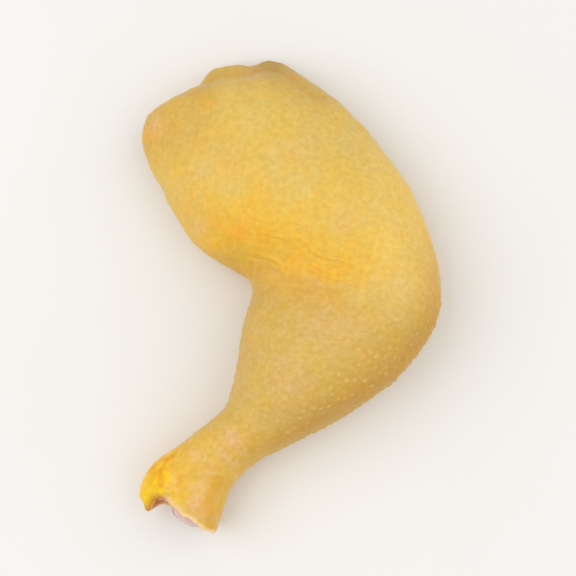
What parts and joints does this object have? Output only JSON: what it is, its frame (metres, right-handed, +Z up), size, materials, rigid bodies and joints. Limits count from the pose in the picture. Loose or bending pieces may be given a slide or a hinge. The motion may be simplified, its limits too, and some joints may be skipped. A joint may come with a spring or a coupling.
{
  "type": "raw chicken leg quarter",
  "caption": "Raw chicken leg quarter: thigh and drumstick joined under bumpy yellow skin, bent at the knee, with the cut shank bone showing in the collar of skin at the hock.",
  "frame": {"origin": "on the surface it lies on, under the middle of its box", "axes": "+Z up from the side it lies on to the skin side that shows, +Y from the hock to the hip, +X to the front of the knee"},
  "size_m": [0.1058, 0.1704, 0.0442],
  "materials": {
    "skin": "moist",
    "sinew": "moist",
    "bone": "moist"
  },
  "bodies": {
    "root": {"skin_covered_meat": "skin", "hock_sinew": "sinew", "shank_bone": "bone"}
  },
  "joints": []
}
